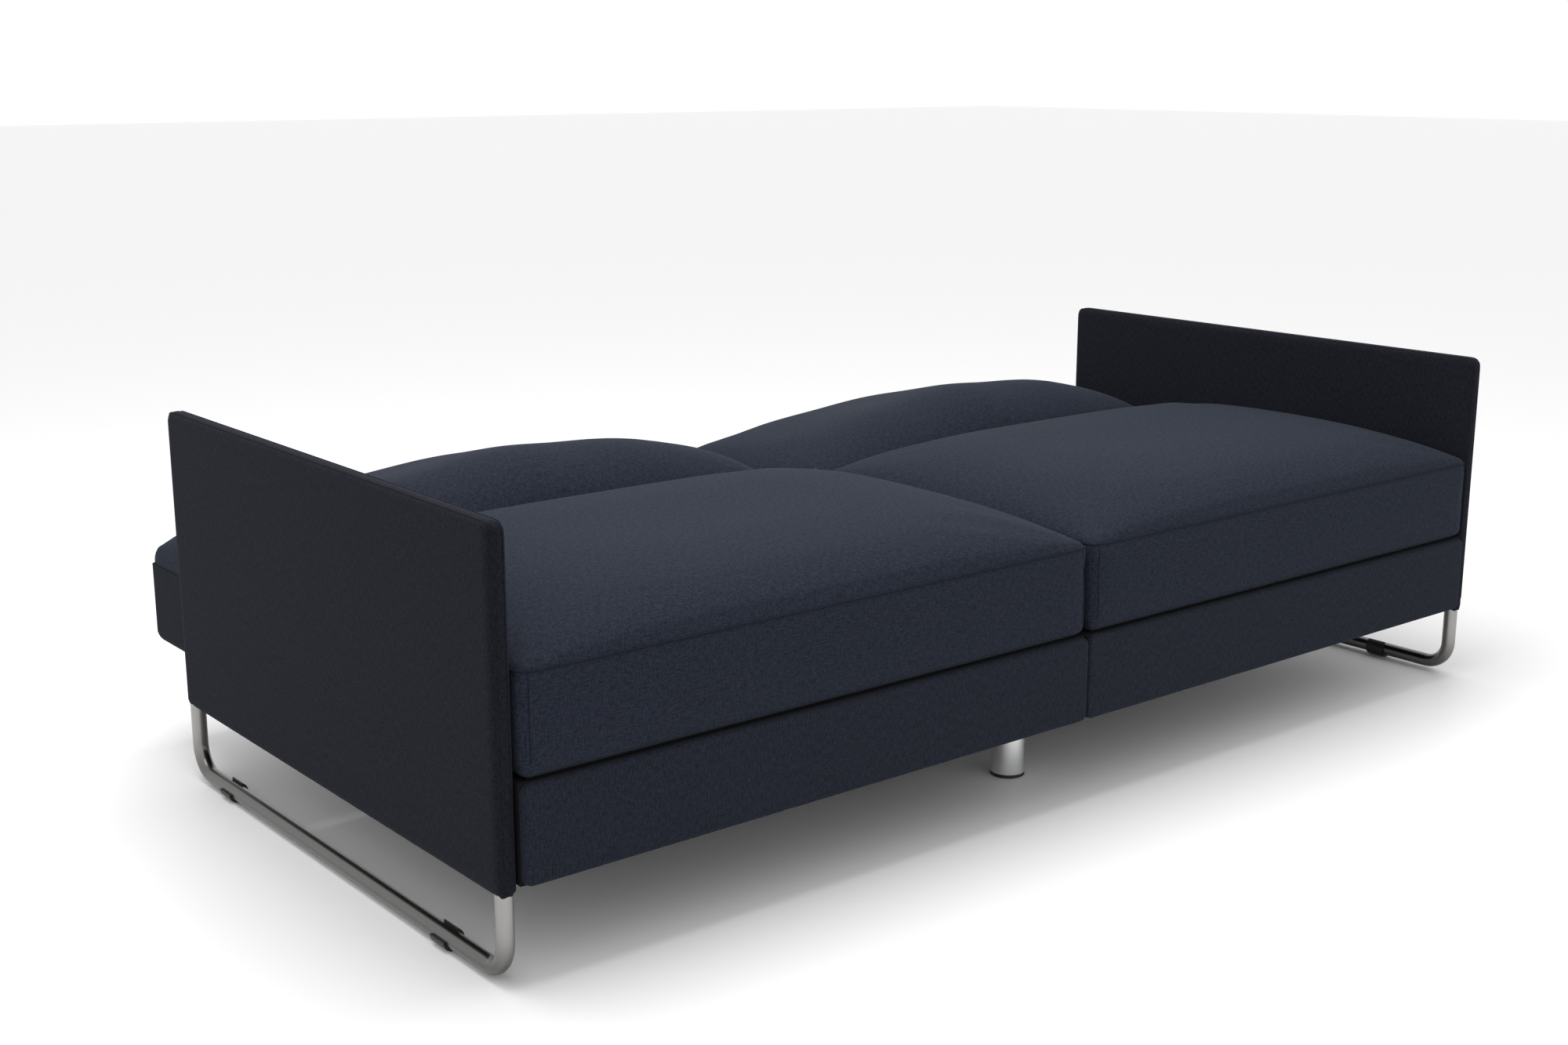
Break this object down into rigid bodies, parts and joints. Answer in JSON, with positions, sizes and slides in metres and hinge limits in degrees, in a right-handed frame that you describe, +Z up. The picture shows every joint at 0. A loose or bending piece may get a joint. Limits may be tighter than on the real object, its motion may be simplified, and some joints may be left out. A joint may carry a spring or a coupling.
{
  "type": "futon sofa bed",
  "caption": "Split-back click-clack sofa bed lying flat, with thin padded arm panels on bent tube sled legs and a boxed seat on an upholstered base.",
  "frame": {"origin": "On the floor, midway between the two arms and midway from the seat's front face to the rear of the flat back.", "axes": "+X along the sofa from the left arm to the right arm, seen from the front; +Y from the front to the back; +Z up."},
  "size_m": [1.909, 1.07, 0.55],
  "materials": {
    "arm_fabric": "matte",
    "base_fabric": "matte",
    "cushion_fabric": "matte",
    "dust_cloth": "matte",
    "nickel_tube": "satin",
    "zinc_steel": "satin",
    "black_steel": "satin",
    "black_plastic": "matte",
    "pine": "matte",
    "board": "matte"
  },
  "bodies": {
    "frame": {"arm_board_left": "board", "arm_board_right": "board", "arm_bolts": "zinc_steel", "arm_cover_left": "arm_fabric", "arm_cover_right": "arm_fabric", "arm_tee_nuts": "zinc_steel", "base_panel_front_left": "base_fabric", "base_panel_front_right": "base_fabric", "base_panel_rear_left": "base_fabric", "base_panel_rear_right": "base_fabric", "centre_bolts": "zinc_steel", "centre_leg_front": "nickel_tube", "centre_leg_glides": "black_plastic", "centre_leg_plates": "zinc_steel", "centre_leg_rear": "nickel_tube", "centre_leg_screws": "zinc_steel", "centre_nuts": "zinc_steel", "dust_cover_left": "dust_cloth", "dust_cover_right": "dust_cloth", "foot_clips_left": "black_plastic", "foot_clips_right": "black_plastic", "hinge_pins": "black_steel", "hinge_seat_plates": "black_steel", "leg_studs": "zinc_steel", "seat_cushion_left": "cushion_fabric", "seat_cushion_right": "cushion_fabric", "seat_deck_left": "board", "seat_deck_right": "board", "seat_rail_front_left": "pine", "seat_rail_front_right": "pine", "seat_rail_inner_left": "pine", "seat_rail_inner_right": "pine", "seat_rail_outer_left": "pine", "seat_rail_outer_right": "pine", "seat_rail_rear_left": "pine", "seat_rail_rear_right": "pine", "seat_slats_left": "pine", "seat_slats_right": "pine", "sled_leg_left": "nickel_tube", "sled_leg_right": "nickel_tube"},
    "back_left": {"back_box_left": "cushion_fabric", "back_end_rails_left": "pine", "back_pillow_left": "cushion_fabric", "back_rail_front_left": "pine", "back_rail_rear_left": "pine", "back_slats_left": "pine", "hinge_back_plates_left": "black_steel", "hinge_screws_left": "black_steel"},
    "back_right": {"back_box_right": "cushion_fabric", "back_end_rails_right": "pine", "back_pillow_right": "cushion_fabric", "back_rail_front_right": "pine", "back_rail_rear_right": "pine", "back_slats_right": "pine", "hinge_back_plates_right": "black_steel", "hinge_screws_right": "black_steel"},
    "pawl_inner_left": {"pawl_inner_left": "black_steel"},
    "pawl_inner_right": {"pawl_inner_right": "black_steel"},
    "pawl_outer_left": {"pawl_outer_left": "black_steel"},
    "pawl_outer_right": {"pawl_outer_right": "black_steel"}
  },
  "joints": [
    {"name": "back_left_recline", "type": "hinge", "parent": "frame", "child": "back_left", "pos_m": [0, 0.072, 0.372], "axis": [1, 0, 0], "range_deg": [0, 72]},
    {"name": "back_right_recline", "type": "hinge", "parent": "frame", "child": "back_right", "pos_m": [0, 0.072, 0.372], "axis": [1, 0, 0], "range_deg": [0, 72]},
    {"name": "pawl_outer_left_click", "type": "hinge", "parent": "back_left", "child": "pawl_outer_left", "pos_m": [0, 0.08668, 0.3264], "axis": [1, 0, 0], "range_deg": [0, 7]},
    {"name": "pawl_outer_right_click", "type": "hinge", "parent": "back_right", "child": "pawl_outer_right", "pos_m": [0, 0.08668, 0.3264], "axis": [1, 0, 0], "range_deg": [0, 7]},
    {"name": "pawl_inner_left_click", "type": "hinge", "parent": "back_left", "child": "pawl_inner_left", "pos_m": [0, 0.08668, 0.3264], "axis": [1, 0, 0], "range_deg": [0, 7]},
    {"name": "pawl_inner_right_click", "type": "hinge", "parent": "back_right", "child": "pawl_inner_right", "pos_m": [0, 0.08668, 0.3264], "axis": [1, 0, 0], "range_deg": [0, 7]}
  ]
}
